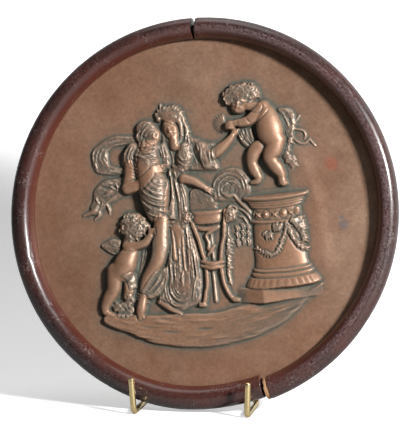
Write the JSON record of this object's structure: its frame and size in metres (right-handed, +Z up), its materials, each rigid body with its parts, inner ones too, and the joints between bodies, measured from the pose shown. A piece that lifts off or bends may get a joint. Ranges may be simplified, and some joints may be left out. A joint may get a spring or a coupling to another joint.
{
  "type": "relief plaque",
  "caption": "Round copper relief plaque in a turned wood ring frame, standing on a bent brass wire easel; figures at an altar and a tripod stand out of its field.",
  "frame": {"origin": "middle of the object's footprint, on the table it stands on", "axes": "+Z up, the plaque faces -Y and leans back 7 degrees, +X to the right as seen from the front"},
  "size_m": [0.2598, 0.12, 0.2591],
  "materials": {
    "frame_wood": "dark red-brown stained and worn polish",
    "copper": "brown patinated copper, satin, rubbed brighter on the raised forms",
    "board_wood": "dull dark board",
    "brass": "polished brass wire"
  },
  "bodies": {
    "root": {"frame_ring": "frame_wood", "relief_disc": "copper", "back_board": "board_wood", "easel_side_left": "brass", "easel_side_right": "brass", "easel_cross_bar_upper": "brass", "easel_cross_bar_lower": "brass"}
  },
  "joints": []
}
